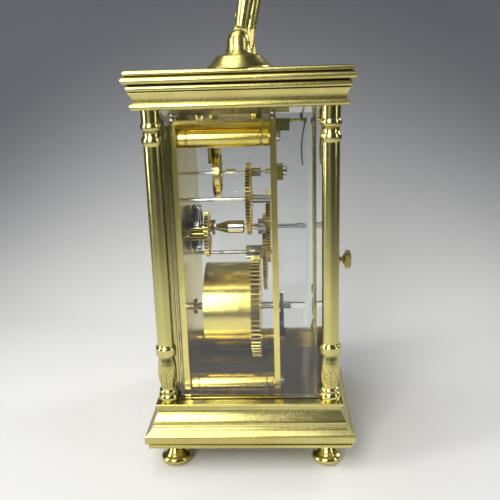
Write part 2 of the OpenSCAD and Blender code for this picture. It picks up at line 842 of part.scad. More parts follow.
click_at = barrel_at + [9.5, -8.5];
click_pin_r = 0.8;
click_nose = bearing(click_at, barrel_at);
click_reach = norm(click_at - barrel_at) - ratchet_r - 0.12;
module click() {
    color(steel) at_xz(click_at) along_y(ratchet_y, ratchet_y + ratchet_t) difference() {
        union() {
            circle(2);
            rotate(click_nose) polygon([[0, -1.6], [click_reach, -0.3], [click_reach, 0.3],
                [0, 1.6]]);
            rotate(click_nose + 195) translate([0, -0.6]) square([4.6, 1.2]);
        }
        circle(click_pin_r + run);
    }
}

module click_screw() {
    color(blued) difference() {
        union() {
            rod_y(click_at, back_y, ratchet_y + ratchet_t + 0.2, click_pin_r);
            rod_y(click_at, ratchet_y + ratchet_t + 0.2, ratchet_y + ratchet_t + 1, 1.7);
        }
        box(click_at[0] - 2, click_at[0] + 2, ratchet_y + ratchet_t + 0.7,
            ratchet_y + ratchet_t + 2, click_at[1] - 0.2, click_at[1] + 0.2);
    }
}

// Curved leaf beside the tail of the click, drawn pushed back as far as the tail can push it
leaf_foot = barrel_at + [17.5, 1.5];
leaf_r = 13.1;
leaf_from = 7;
leaf_to = -42.5;
module click_spring() {
    color(blued) along_y(back_y + plate_t, ratchet_y + ratchet_t) union() {
        translate(leaf_foot) circle(1.6);
        translate(leaf_foot - polar(leaf_r, leaf_from)) polygon(band(leaf_r, 0.5, leaf_from, leaf_to));
    }
}

// ---------- going train ----------

inner_front = front_y + slack;
inner_back = back_y - slack;

module arbor(at, r) {
    rod_y(at, front_y - plate_t + 0.2, back_y + plate_t - 0.2, pivot_r);
    rod_y(at, inner_front, inner_back, r);
}

inter_arbor_r = 0.85;
module intermediate_arbor() {
    color(steel) union() {
        arbor(inter_at, inter_arbor_r);
        rod_y(inter_at, inter_y - 0.3, inter_y + inter_t, 1.3);
        at_xz(inter_at) along_y(-2.1, inter_y - 0.3) leaves(inter_leaves, m_great,
            inter_leaf_phase);
    }
}

module intermediate_wheel() {
    color(gold) at_xz(inter_at) along_y(inter_y, inter_y + inter_t)
        wheel(inter_teeth, m_inter, inter_phase, 1.9, 3.2, 5, 1.7, 1.3);
}

centre_arbor_r = 0.9;
module centre_arbor() {
    color(steel) union() {
        rod_y(centre_at, minute_hand_y - 0.5, 24.8, centre_arbor_r);
        rod_y(centre_at, sleeve_end, inner_back, 1.2);
        at_xz(centre_at) along_y(4.1, centre_y - 0.1) leaves(centre_leaves, m_inter,
            centre_leaf_phase);
        at_xz(centre_at) along_y(20.8, 24.8) square(2, center = true);
    }
}

module centre_wheel() {
    color(gold) at_xz(centre_at) along_y(centre_y, centre_y + centre_t)
        wheel(centre_teeth, m_centre, centre_phase, 1.8, 2.8, 5, 1.6, 1.2);
}

sleeve_end = -1.8;
sleeve_r = 2.8;
module friction_sleeve() {
    color(steel) difference() {
        union() {
            cone_y(centre_at, cannon_y + cannon_t, -8.6, 1.2, sleeve_r);
            rod_y(centre_at, -8.6, sleeve_end - 0.5, sleeve_r);
            cone_y(centre_at, sleeve_end - 0.5, sleeve_end, sleeve_r, sleeve_r - 0.5);
        }
        rod_y(centre_at, cannon_y, sleeve_end + 1, centre_arbor_r);
    }
}

third_arbor_r = 0.85;
module third_arbor() {
    color(steel) union() {
        arbor(third_at, third_arbor_r);
        rod_y(third_at, third_y - 0.4, third_y + third_t + 0.6, 1.25);
        at_xz(third_at) along_y(third_y + third_t + 0.6, inner_back - 0.3)
            leaves(third_leaves, m_centre, third_leaf_phase);
    }
}

module third_wheel() {
    color(gold) at_xz(third_at) along_y(third_y, third_y + third_t)
        wheel(third_teeth, m_third, third_phase, 1.8, 2.9, 5, 1.5, 1.25);
}

contrate_arbor_r = 0.6;
module contrate_arbor() {
    color(steel) union() {
        arbor(contrate_at, contrate_arbor_r);
        at_xz(contrate_at) along_y(-0.4, 5.7) leaves(contrate_leaves, m_third,
            contrate_leaf_phase);
        rod_y(contrate_at, -9.1, -5.1, 1.45);
    }
}

contrate_rim_y = contrate_tip_y + 1.15;
module contrate_wheel() {
    color(gold) at_xz(contrate_at) difference() {
        union() {
            along_y(contrate_rim_y, contrate_rim_y + 1) difference() {
                circle(contrate_r + 0.9);
                circle(contrate_r - 0.8);
            }
            along_y(contrate_rim_y + 1, contrate_rim_y + 1.8) difference() {
                circle(contrate_r + 0.9);
                difference() {
                    circle(contrate_r - 1.4);
                    circle(2.4);
                    for (i = [0:3]) rotate(45 + i * 90) translate([0, -0.6])
                        square([contrate_r, 1.2]);
                }
            }
            for (i = [0:contrate_teeth - 1]) rotate([0, i * 360 / contrate_teeth, 0])
                translate([0, 0, contrate_r - 0.8]) linear_extrude(1.7)
                    polygon([[-0.2, contrate_rim_y + 0.02], [-0.1, contrate_tip_y],
                        [0.1, contrate_tip_y], [0.2, contrate_rim_y + 0.02]]);
        }
        rod_y([0, 0], contrate_tip_y, 0, contrate_arbor_r);
    }
}

// ---------- platform escapement ----------

escape_y0 = platform_z + platform_t;
escape_z = escape_y0 + 1;
lever_z = escape_z;
balance_z = escape_y0 + 4.4;
bridge_z = escape_y0 + 7;
escape_low = contrate_at[1] + 6;

module escape_arbor() {
    color(steel) translate([escape_at[0], escape_at[1], 0]) union() {
        rod_z([0, 0], escape_low - 0.8, escape_z + 2.2, 0.35);
        rod_z([0, 0], escape_low, escape_z + 1.3, 0.55);
        translate([0, 0, contrate_at[1] + contrate_r - 1.2]) linear_extrude(2.6)
            leaves(escape_leaves, 2 * escape_leaf_r / escape_leaves, 90 + 180 / escape_leaves);
    }
}

module escape_wheel() {
    color(gold) translate([escape_at[0], escape_at[1], escape_z]) linear_extrude(0.5)
        difference() {
            polygon([for (i = [0:escape_teeth - 1]) for (k = [[0, 0], [0.9, 0.14], [0.75, 0.62]])
                polar(escape_wheel_r - k[0], (i + k[1]) * 360 / escape_teeth)]);
            difference() {
                circle(escape_wheel_r - 1.5);
                circle(1.1);
                for (i = [0:3]) rotate(i * 90) translate([0, -0.25]) square([4, 0.5]);
            }
            circle(0.55);
        }
}

// Lever with two pallets that straddle the escape wheel, and a fork towards the balance
lever_swing = 5;
module lever() {
    pallet_r = escape_wheel_r + 0.45;
    color(steel) translate([lever_at[0], lever_at[1], 0]) rotate(row_angle) union() {
        translate([0, 0, lever_z]) linear_extrude(0.5) difference() {
            union() {
                circle(1.1);
                translate([0, -0.35]) square([balance_gap - 2.4, 0.7]);
                translate([balance_gap - 2.8, -0.9]) square([1.2, 1.8]);
                difference() {
                    translate([-lever_gap, 0]) circle(pallet_r + 0.8);
                    translate([-lever_gap, 0]) circle(pallet_r);
                    translate([-3 * lever_gap - 1.2, -9]) square([2.1 * lever_gap, 18]);
                }
            }
            translate([balance_gap - 2.1, -0.3]) square([1, 0.6]);
        }
        rod_z([0, 0], escape_y0 - platform_t + 0.3, lever_z + 2.2, 0.3);
    }
}

module balance_wheel() {
    color(brass) translate([balance_at[0], balance_at[1], 0]) union() {
        translate([0, 0, balance_z]) linear_extrude(0.8) difference() {
            circle(balance_r);
            difference() {
                circle(balance_r - 1);
                circle(1.4);
                translate([-balance_r, -0.5]) square([2 * balance_r, 1]);
            }
        }
        rod_z([0, 0], escape_y0 - platform_t + 0.3, bridge_z + 0.8, 0.3);
        rod_z([0, 0], lever_z + 0.9, lever_z + 1.3, 1.5);
        rod_z([0, 0], balance_z - 0.5, balance_z + 1.6, 0.8);
        for (i = [0:11]) rotate(15 + i * 30) translate([balance_r - 0.2, 0, balance_z + 0.4])
            rotate([0, 90, 0]) cylinder(r = 0.35, h = 0.8);
    }
}

module hairspring() {
    color(blued) translate([balance_at[0], balance_at[1], balance_z + 1.7]) linear_extrude(0.3)
        polygon(spiral(1, 4.2, 9, 0.1));
}

module platform() {
    color(gold) difference() {
        box(-platform_half, platform_half, front_y - plate_t, back_y + plate_t, platform_z,
            platform_z + platform_t);
        rod_z(escape_at, platform_z - 1, escape_y0 + 1, 1.6);
        rod_z(lever_at, platform_z - 1, escape_y0 + 1, 0.3 + run);
        rod_z(balance_at, platform_z - 1, escape_y0 + 1, 0.3 + run);
        platform_screw_holes();
    }
}

// A cock: foot on the platform and an arm over the pivot at `at`
module cock(at, foot_angle, reach, z0, thick, width) {
    foot = width / 2 + 0.8;
    translate([at[0], at[1], 0]) rotate(foot_angle) difference() {
        union() {
            translate([0, 0, z0]) linear_extrude(thick) union() {
                circle(width / 2);
                polygon([[0, -width / 2], [reach, -foot], [reach, foot], [0, width / 2]]);
            }
            rod_z([reach, 0], escape_y0, z0 + thick, foot);
        }
        rod_z([0, 0], z0 - 1, z0 + thick + 1, 0.35 + run);
    }
}

// Balance, lever and escape cocks, the potence that holds the foot of the escape arbor, and
// the cock that stops the contrate arbor's end behind the back plate
module platform_cocks() {
    color(brass) union() {
        cock(balance_at, row_angle - 10, 11.6, bridge_z, 1.2, 3);
        cock(lever_at, row_angle - 90, 4.6, lever_z + 1.3, 0.8, 1.6);
        cock(escape_at, row_angle + 180, 6.6, lever_z + 1.6, 0.8, 1.6);
        difference() {
            box(escape_at[0] - 1.3, escape_at[0] + 5.4, escape_at[1] - 1, escape_at[1] + 0.5,
                escape_low - 1.4, escape_low - 0.3);
            rod_z(escape_at, escape_low - 2, escape_low, 0.35 + run);
        }
        box(escape_at[0] + 4.3, escape_at[0] + 5.4, escape_at[1] - 1, escape_at[1] + 0.5,
            escape_low - 0.4, platform_z);
        difference() {
            box(contrate_at[0] - 2.4, contrate_at[0] + 7, back_y + plate_t,
                back_y + plate_t + end_cock_t, contrate_at[1] - 2.6, contrate_at[1] + 3.2);
            rod_y(end_screw_at, back_y, back_y + 9, screw_r);
        }
    }
}

module platform_screws() {
    color(steel) for (sx = [-1, 1]) for (y = [front_y - plate_t / 2, back_y + plate_t / 2])
        difference() {
            union() {
                rod_z([sx * platform_screw_x, y], platform_z - 4, escape_y0, 0.6);
                rod_z([sx * platform_screw_x, y], escape_y0, escape_y0 + 0.5, 1.25);
                translate([sx * platform_screw_x, y, escape_y0 + 0.5])
                    cylinder(r1 = 1.25, r2 = 0.7, h = 0.7);
            }
            box(sx * platform_screw_x - 2, sx * platform_screw_x + 2, y - 0.15, y + 0.15,
                escape_y0 + 0.8, escape_y0 + 2);
        }
}

// Leaf spring that steadies the closed door, on a block at the top of the back plate
catch_z = 137.8;
leaf_bow = [63, 125.8];
leaf_bow_r = 40;
module catch_spring() {
    color(brass) union() {
        box(-2.6, 2.6, back_y + plate_t, back_y + plate_t + 5.5, catch_z - 4, catch_z + 1);
        rod_y([0, catch_z], back_y + plate_t + 5.2, 24.6, 0.7);
        box(-0.6, 0.6, 22.5, 23.7, catch_z, catch_z + 5);
        box(-2, 2, 24.3, 25.3, catch_z - 0.8, catch_z + 0.8);
        along_x(-2, 2) translate(leaf_bow) polygon(band(leaf_bow_r, 0.6, 162.3, 189));
    }
}

// Seats the assembly on its feet: the heights above count from base_low under the base
module placed() {
    translate([0, 0, foot_h - base_low]) children();
}

placed() base_moulding();
placed() base_plate();
placed() feet();
placed() column(-1, -1);  // column_front_left
placed() column(1, -1);  // column_front_right
placed() column(-1, 1);  // column_rear_left
placed() column(1, 1);  // column_rear_right
placed() cornice();
placed() top_glass();
placed() front_glass();
placed() left_glass();
placed() right_glass();
placed() door_frame();
placed() door_glass();
placed() door_knob();
placed() door_pins();
placed() handle_boss_left();
placed() handle_boss_right();
placed() handle();
placed() handle_pins();
placed() front_plate();
placed() back_plate();
placed() pillars();
placed() pillar_screws();
placed() movement_screws();
placed() dial_plate();
placed() dial();
placed() minute_hand();
placed() hour_hand();
placed() cannon_pinion();
placed() minute_wheel();
placed() minute_stud();
placed() hour_wheel();
placed() barrel();
placed() barrel_cap();
placed() great_wheel();
placed() mainspring();
placed() winding_arbor();
placed() ratchet_wheel();
placed() click();
placed() click_screw();
placed() click_spring();
placed() intermediate_arbor();
placed() intermediate_wheel();
placed() centre_arbor();
placed() centre_wheel();
placed() friction_sleeve();
placed() third_arbor();
placed() third_wheel();
placed() contrate_arbor();
placed() contrate_wheel();
placed() escape_arbor();
placed() escape_wheel();
placed() lever();
placed() balance_wheel();
placed() hairspring();
placed() platform();
placed() platform_cocks();
placed() platform_screws();
placed() catch_spring();
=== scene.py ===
# Carriage clock: materials, dial and engraving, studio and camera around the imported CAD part.
# Metres. Seen from its dial, the clock has +X to the right, +Y to the back and +Z up.
import math
import bmesh
import bpy
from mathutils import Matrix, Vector
from mathutils.bvhtree import BVHTree


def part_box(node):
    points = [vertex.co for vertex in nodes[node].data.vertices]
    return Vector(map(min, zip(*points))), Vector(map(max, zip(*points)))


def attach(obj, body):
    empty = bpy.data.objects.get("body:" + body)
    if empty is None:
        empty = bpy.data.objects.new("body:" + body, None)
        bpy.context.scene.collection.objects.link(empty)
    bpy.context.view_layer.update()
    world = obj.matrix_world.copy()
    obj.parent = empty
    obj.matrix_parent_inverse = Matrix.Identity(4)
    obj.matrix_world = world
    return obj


MM = 0.001

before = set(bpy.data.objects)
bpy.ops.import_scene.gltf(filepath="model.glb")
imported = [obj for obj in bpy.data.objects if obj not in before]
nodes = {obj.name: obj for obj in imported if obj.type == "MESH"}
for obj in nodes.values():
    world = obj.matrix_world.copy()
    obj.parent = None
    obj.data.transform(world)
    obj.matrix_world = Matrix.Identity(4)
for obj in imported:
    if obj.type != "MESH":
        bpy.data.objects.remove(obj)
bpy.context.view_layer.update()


# ---------- camera ----------

EYE = (0.27585, 0.01381, 0.15690)
EYE_TURN = (74.54, 1.684, 92.347)    # degrees
LENS, SENSOR = 47.2, 36              # millimetres
NEAREST = 0.01

cam_data = bpy.data.cameras.new("camera")
cam_data.sensor_width = SENSOR
cam_data.lens = LENS
cam_data.clip_start = NEAREST
camera = bpy.data.objects.new("camera", cam_data)
camera.location = EYE
camera.rotation_euler = [math.radians(a) for a in EYE_TURN]
bpy.context.scene.collection.objects.link(camera)
bpy.context.scene.camera = camera


# ---------- material graphs ----------

class Shader:
    """A node material with one Principled shader and short ways to add nodes."""

    def __init__(self, name, color, metallic, roughness, **sockets):
        self.mat = bpy.data.materials.new(name)
        self.mat.use_nodes = True
        self.tree = self.mat.node_tree
        self.tree.nodes.clear()
        out = self.tree.nodes.new("ShaderNodeOutputMaterial")
        self.bsdf = self.tree.nodes.new("ShaderNodeBsdfPrincipled")
        self.tree.links.new(self.bsdf.outputs[0], out.inputs["Surface"])
        self.set("Base Color", (*color, 1))
        self.set("Metallic", metallic)
        self.set("Roughness", roughness)
        for key, value in sockets.items():
            self.set(key.replace("_", " ").title().replace("Ior", "IOR"), value)
        self.place = self.add("TexCoord").outputs["Object"]

    def set(self, key, value):
        self.wire(self.bsdf.inputs[key], value)

    def wire(self, socket, value):
        if isinstance(value, bpy.types.NodeSocket):
            self.tree.links.new(value, socket)
        else:
            socket.default_value = value

    def add(self, kind, *values, **props):
        n = self.tree.nodes.new("ShaderNode" + kind)
        for key, value in props.items():
            setattr(n, key, value)
        for i, value in enumerate(values):
            if value is not None:
                self.wire(n.inputs[i], value)
        return n

    def scaled(self, vec, scale):
        return self.add("VectorMath", vec, scale, operation="MULTIPLY").outputs[0]

    def noise(self, vec, scale, detail=2.0, rough=0.5, distortion=0.0):
        n = self.add("TexNoise")
        self.wire(n.inputs["Vector"], vec)
        n.inputs["Scale"].default_value = scale
        n.inputs["Detail"].default_value = detail
        n.inputs["Roughness"].default_value = rough
        n.inputs["Distortion"].default_value = distortion
        return n.outputs[0]

    def span(self, value, a, b, lo=0.0, hi=1.0, ease="LINEAR"):
        """Maps a..b to lo..hi, clamped."""
        n = self.add("MapRange", value, a, b, lo, hi, clamp=True, interpolation_type=ease)
        return n.outputs[0]

    def rounded(self, radius):
        """A normal that turns smoothly over the edges, as worn edges do."""
        n = self.add("Bevel", samples=4)
        n.inputs["Radius"].default_value = radius
        return n.outputs[0]

    def math(self, op, a, b=None):
        return self.add("Math", a, b, operation=op).outputs[0]

    def mix(self, fac, a, b):
        n = self.add("Mix", data_type="RGBA")
        self.wire(n.inputs[0], fac)
        self.wire(n.inputs[6], a if isinstance(a, bpy.types.NodeSocket) else (*a, 1))
        self.wire(n.inputs[7], b if isinstance(b, bpy.types.NodeSocket) else (*b, 1))
        return n.outputs[2]

    def bump(self, height, depth, under=None):
        n = self.add("Bump")
        self.wire(n.inputs["Height"], height)
        n.inputs["Distance"].default_value = depth
        n.inputs["Strength"].default_value = 1.0
        if under is not None:
            self.wire(n.inputs["Normal"], under)
        return n.outputs[0]

    def side_scale(self, on_y_faces, on_x_faces):
        """One scale on the faces that look along Y, another on those that look along X."""
        normal = self.add("TexCoord").outputs["Normal"]
        sizes = [self.math("ABSOLUTE", self.add("VectorMath", normal, axis,
                                                operation="DOT_PRODUCT").outputs[1])
                 for axis in ((1, 0, 0), (0, 1, 0))]
        return self.mix(self.math("GREATER_THAN", *sizes), on_y_faces, on_x_faces)

    def shade_mask(self, reach):
        """Ambient occlusion, 0 in tight recesses and 1 on open faces, used to paint shade into
        colours.
        """
        n = self.add("AmbientOcclusion", samples=6, only_local=True)
        n.inputs["Distance"].default_value = reach
        return n.outputs["AO"]

    def around(self, axis, centre):
        """(distance from a line, place along it, 0) for a line parallel to an axis."""
        flat = {"X": (0, 1, 1), "Y": (1, 0, 1), "Z": (1, 1, 0)}[axis]
        along = tuple(1 - k for k in flat)
        rel = self.add("VectorMath", self.place, centre, operation="SUBTRACT").outputs[0]
        out = self.add("VectorMath", self.scaled(rel, flat), operation="LENGTH").outputs[1]
        dot = self.add("VectorMath", rel, along, operation="DOT_PRODUCT").outputs[1]
        return self.add("CombineXYZ", out, dot, 0.0).outputs[0]


ALONG_X = (40, 1500, 1500)       # noise scales for lines along one axis
ALONG_Y = (1500, 40, 1500)
ALONG_Z = (1500, 1500, 40)
WORN_EDGE = 0.25 * MM
CASE_SHADE_REACH = 2.2 * MM                # reach of the painted shade and patina in the case's recesses
TOOTH_GAP, TOOTH_SHADE = 1.6 * MM, 0.7    # reach and threshold of the painted shade between the teeth of the wheels
BRASS = ((0.66, 0.59, 0.23), (0.52, 0.455, 0.145))
BRASS_STAIN, BRASS_SPECK = (0.36, 0.31, 0.10), (0.22, 0.18, 0.05)
# near black for the case's recesses: patina together with painted shade
BRASS_PATINA_AND_SHADE = (0.08, 0.06, 0.018)
GILT = ((0.90, 0.76, 0.25), (0.80, 0.65, 0.15))
# the last colour here is painted shade for the gilt's recesses and tooth gaps
GILT_GRAIN, GILT_PAINTED_SHADE = (0.56, 0.40, 0.08), (0.09, 0.05, 0.012)
# the near-black tones of the plate under the movement
DARK_PLATE = ((0.20, 0.15, 0.07), (0.10, 0.075, 0.04))
STEEL = ((0.86, 0.86, 0.87), (0.58, 0.58, 0.60))
# a darker copy of STEEL: painted shade for the hour wheel, which sits in shade by the front plate
SHADED_STEEL = ((0.62, 0.62, 0.64), (0.34, 0.34, 0.36))
BLUED = ((0.035, 0.05, 0.16), (0.05, 0.035, 0.09))


def case_brass(name, lines=None, gloss=0.16):
    """Lacquered brass: faint polishing lines, fine mottling, patina and painted shade in the
    recesses.
    """
    s = Shader(name, (0.8, 0.68, 0.30), 1.0, 0.2, coat_weight=0.15, coat_roughness=0.12)
    cloud = s.noise(s.place, 34, 3, 0.6)
    mottle = s.noise(s.place, 1100, 4, 0.65)
    speck = s.noise(s.place, 3200, 2, 0.5)
    scale = lines or s.side_scale(ALONG_X, ALONG_Y)
    hair = s.noise(s.scaled(s.place, scale), 1.0, 3, 0.6)
    base = s.mix(s.span(cloud, 0.35, 0.65), *BRASS)
    base = s.mix(s.span(mottle, 0.50, 0.80, 0.0, 0.16), base, BRASS_STAIN)
    base = s.mix(s.span(speck, 0.64, 0.76, 0.0, 0.25), base, BRASS_SPECK)
    # Painted shade with patina: the colour turns near black where the surface is hemmed in.
    unshaded = s.span(s.shade_mask(CASE_SHADE_REACH), 0.4, 0.9)
    base = s.mix(unshaded, BRASS_PATINA_AND_SHADE, base)
    s.set("Base Color", base)
    rough = s.math("ADD", s.span(mottle, 0.3, 0.8, gloss, gloss + 0.10),
                   s.span(hair, 0.4, 0.8, 0.0, 0.06))
    s.set("Roughness", s.math("ADD", rough, s.span(unshaded, 0.0, 1.0, 0.2, 0.0)))
    waves = s.bump(cloud, 40e-6, s.rounded(WORN_EDGE))
    pits = s.bump(mottle, 1.6e-6, waves)
    s.set("Normal", s.bump(hair, 0.7e-6, pits))
    return s.mat


def floor_brass(name):
    """The dark, smooth plate under the movement."""
    s = Shader(name, (0.2, 0.16, 0.08), 1.0, 0.2)
    cloud = s.noise(s.place, 60, 4, 0.6)
    speck = s.noise(s.place, 600, 2, 0.5)
    base = s.mix(s.span(cloud, 0.35, 0.65), *DARK_PLATE)
    s.set("Base Color", s.mix(s.span(speck, 0.5, 0.8, 0.0, 0.2), base, (0.30, 0.23, 0.11)))
    s.set("Roughness", s.span(cloud, 0.3, 0.7, 0.06, 0.14))
    return s.mat


def gilt(name, axis=None, centre=(0, 0, 0), lines=(2600, 2600, 60), gap=1.2 * MM, shade=0.3):
    """Fine-grained gilt brass with painted shade in its recesses and between its teeth. Turned
    pieces have their grain around an axis.
    """
    s = Shader(name, (0.86, 0.62, 0.22), 1.0, 0.2, coat_weight=0.1, coat_roughness=0.12)
    if axis:
        ring = s.around(axis, centre)
        hair = s.noise(ring, 7000, 3, 0.7)
        band = s.noise(ring, 1500, 2, 0.5)
    else:
        hair = s.noise(s.scaled(s.place, lines), 1.6, 3, 0.65)
        band = s.noise(s.scaled(s.place, lines), 0.5, 2, 0.5)
    cloud = s.noise(s.place, 80, 3, 0.6)
    base = s.mix(s.span(cloud, 0.35, 0.65), *GILT)
    base = s.mix(s.span(hair, 0.45, 0.8, 0.0, 0.22), base, GILT_GRAIN)
    # Painted shade: the colour goes dark in recesses and between the teeth.
    unshaded = s.span(s.shade_mask(gap), shade, 0.95)
    base = s.mix(unshaded, GILT_PAINTED_SHADE, base)
    s.set("Base Color", base)
    rough = s.math("ADD", s.span(band, 0.3, 0.7, 0.15, 0.21), s.span(hair, 0.3, 0.8, 0.0, 0.08))
    s.set("Roughness", s.math("ADD", rough, s.span(unshaded, 0.0, 1.0, 0.25, 0.0)))
    s.set("Normal", s.bump(hair, 0.5e-6, s.bump(cloud, 14e-6)))
    return s.mat


def steel(name, axis=None, centre=(0, 0, 0), colors=STEEL, gap=0.8 * MM, shade=0.3):
    """Polished steel with turning marks, a little dulled by handling and old oil, and painted
    shade in its recesses and between teeth.
    """
    color, dark = colors
    s = Shader(name, color, 1.0, 0.15)
    vec = s.around(axis, centre) if axis else s.place
    hair = s.noise(vec, 6500, 3, 0.7)
    cloud = s.noise(s.place, 320, 3, 0.6)
    base = s.mix(s.span(cloud, 0.4, 0.75), color, dark)
    # Painted shade: the colour goes dark in recesses and between the teeth.
    base = s.mix(s.span(s.shade_mask(gap), shade, 0.9), tuple(0.2 * c for c in dark), base)
    s.set("Base Color", base)
    s.set("Roughness", s.math("ADD", s.span(cloud, 0.3, 0.8, 0.07, 0.24),
                              s.span(hair, 0.4, 0.8, 0.0, 0.12)))
    s.set("Normal", s.bump(hair, 0.6e-6))
    return s.mat


def clear_glass(name):
    """Clear plate glass with a faint green body and a light film of dust and wiping marks."""
    s = Shader(name, (0.965, 0.985, 0.975), 0.0, 0.0, transmission_weight=1.0, ior=1.5)
    smear = s.noise(s.scaled(s.place, (900, 160, 60)), 0.25, 4, 0.7, 0.6)
    dust = s.noise(s.place, 1900, 2, 0.5)
    film = s.math("ADD", s.span(smear, 0.55, 0.8, 0.0, 0.02), s.span(dust, 0.7, 0.8, 0.0, 0.15))
    s.set("Roughness", film)
    s.set("Base Color", s.mix(s.span(smear, 0.5, 0.8), (0.975, 0.99, 0.98), (0.93, 0.95, 0.93)))
    s.set("Normal", s.bump(smear, 0.4e-6))
    return s.mat


def enamel(name):
    """Fired white enamel: glossy, slightly warm, with pin specks under the glaze."""
    s = Shader(name, (0.9, 0.89, 0.84), 0.0, 0.12, coat_weight=0.6, coat_roughness=0.03)
    cloud = s.noise(s.place, 120, 3, 0.6)
    speck = s.noise(s.place, 3000, 1, 0.4)
    base = s.mix(s.span(cloud, 0.3, 0.7), (0.90, 0.89, 0.85), (0.86, 0.84, 0.77))
    s.set("Base Color", s.mix(s.span(speck, 0.74, 0.8, 0.0, 0.6), base, (0.45, 0.42, 0.36)))
    s.set("Roughness", s.span(cloud, 0.3, 0.7, 0.08, 0.16))
    s.set("Normal", s.bump(cloud, 12e-6))
    return s.mat


def engraved(name):
    """Tarnish left in engraved lines."""
    s = Shader(name, (0.2, 0.15, 0.05), 1.0, 0.4)
    grain = s.noise(s.place, 2400, 3, 0.6)
    s.set("Base Color", s.mix(grain, (0.24, 0.18, 0.06), (0.10, 0.07, 0.02)))
    s.set("Roughness", s.span(grain, 0.3, 0.7, 0.3, 0.55))
    return s.mat


def paint(name, color):
    """Fired black dial paint, a little uneven."""
    s = Shader(name, color, 0.0, 0.3)
    cloud = s.noise(s.place, 1600, 3, 0.6)
    worn = tuple(2.4 * c + 0.01 for c in color)
    s.set("Base Color", s.mix(s.span(cloud, 0.3, 0.7), color, worn))
    s.set("Roughness", s.span(cloud, 0.3, 0.7, 0.22, 0.42))
    s.set("Normal", s.bump(cloud, 3e-6))
    return s.mat


def axis_point(node):
    """The middle of a node's box, which lies on its axis."""
    lo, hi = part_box(node)
    return tuple((lo + hi) / 2)


def give(mat, *names):
    """Puts one material on every slot of the named CAD nodes."""
    for n in names:
        slots = nodes[n].data.materials
        for i in range(len(slots)):
            slots[i] = mat


give(case_brass("brass_moulded", gloss=0.18), "base_moulding", "cornice", "door_frame")
give(case_brass("brass_turned", (300, 300, 1800), 0.14), "feet", "column_front_left",
     "column_front_right", "column_rear_left", "column_rear_right", "door_knob")
give(case_brass("brass_handle", (900, 900, 300), 0.24), "handle", "handle_boss_left",
     "handle_boss_right")
give(case_brass("brass_small", (900, 900, 900), 0.14), "catch_spring")
give(floor_brass("brass_floor"), "base_plate")
give(case_brass("brass_dial_plate", ALONG_Z), "dial_plate")
give(gilt("gilt_plate"), "front_plate", "back_plate")
give(gilt("gilt_platform", lines=(60, 2600, 2600)), "platform", "platform_cocks")
give(gilt("gilt_pillar", lines=(1200, 3200, 1200)), "pillars")
for wheel in ("centre_wheel", "great_wheel", "intermediate_wheel", "third_wheel", "minute_wheel"):
    give(gilt("gilt_" + wheel, "Y", axis_point(wheel), gap=TOOTH_GAP, shade=TOOTH_SHADE), wheel)
for drum in ("barrel", "barrel_cap"):
    give(gilt("gilt_" + drum, "Y", axis_point(drum)), drum)
give(gilt("gilt_contrate_wheel", "Y", axis_point("contrate_arbor"), gap=TOOTH_GAP,
          shade=TOOTH_SHADE), "contrate_wheel")
for wheel in ("escape_wheel", "balance_wheel"):
    give(gilt("gilt_" + wheel, "Z", axis_point(wheel)), wheel)
for arbor in ("centre_arbor", "friction_sleeve", "cannon_pinion", "winding_arbor", "ratchet_wheel",
              "intermediate_arbor", "third_arbor", "contrate_arbor", "minute_stud"):
    give(steel("steel_" + arbor, "Y", axis_point(arbor)), arbor)
give(steel("steel_escape_arbor", "Z", axis_point("escape_arbor")), "escape_arbor")
# the hour wheel takes the darker copy of steel as painted shade
give(steel("steel_hour_wheel", "Y", axis_point("hour_wheel"), SHADED_STEEL, TOOTH_GAP, TOOTH_SHADE),
     "hour_wheel")
give(steel("steel_plain"), "pillar_screws", "movement_screws", "handle_pins", "door_pins",
     "click", "lever", "platform_screws", "mainspring")
give(steel("blued_plain", colors=BLUED), "click_screw", "click_spring", "minute_hand", "hour_hand",
     "hairspring")
give(clear_glass("glass_pane"), "front_glass", "left_glass", "right_glass", "top_glass",
     "door_glass")
give(enamel("enamel_dial"), "dial")


# ---------- pieces drawn on the dial and the columns ----------

def new_piece(name, bm, mat, body):
    mesh = bpy.data.meshes.new(name)
    bm.to_mesh(mesh)
    bm.free()
    ob = bpy.data.objects.new(name, mesh)
    bpy.context.scene.collection.objects.link(ob)
    mesh.materials.append(mat)
    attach(ob, body)


def prism(bm, outline, y_front, y_back):
    """Closed flat prism from an outline of (x, z) points."""
    front = [bm.verts.new((x, y_front, z)) for x, z in outline]
    back = [bm.verts.new((x, y_back, z)) for x, z in outline]
    bm.faces.new(front)
    bm.faces.new(reversed(back))
    for i in range(len(outline)):
        j = (i + 1) % len(outline)
        bm.faces.new((front[j], front[i], back[i], back[j]))


def ring(bm, centre, r0, r1, y_front, y_back, steps=180):
    """Closed flat ring about a line along Y through centre (x, z)."""
    loops = []
    for r, y in ((r0, y_front), (r1, y_front), (r1, y_back), (r0, y_back)):
        loops.append([bm.verts.new((centre[0] + r * math.sin(t), y, centre[1] + r * math.cos(t)))
                      for t in (2 * math.pi * k / steps for k in range(steps))])
    for a in range(4):
        b = (a + 1) % 4
        for k in range(steps):
            m = (k + 1) % steps
            bm.faces.new((loops[a][k], loops[a][m], loops[b][m], loops[b][k]))


NUMERALS = ("XII", "I", "II", "III", "IIII", "V", "VI", "VII", "VIII", "IX", "X", "XI")
WIDTHS = {"I": 0.9 * MM, "V": 2.3 * MM, "X": 2.3 * MM}
NUMERAL_R = 18.4 * MM
NUMERAL_H = 2.5 * MM             # half the height of a numeral
PAINT = 0.025 * MM               # how far the paint stands over the enamel
APART = 1e-6                     # keeps crossing strokes out of one plane
TRACK = (21.3 * MM, 22.9 * MM)
LINE = 0.14 * MM
THIN, STEM, THICK, SERIF = 0.2 * MM, 0.45 * MM, 0.5 * MM, 0.3 * MM
TICK, FIVE_TICK = 0.16 * MM, 0.5 * MM


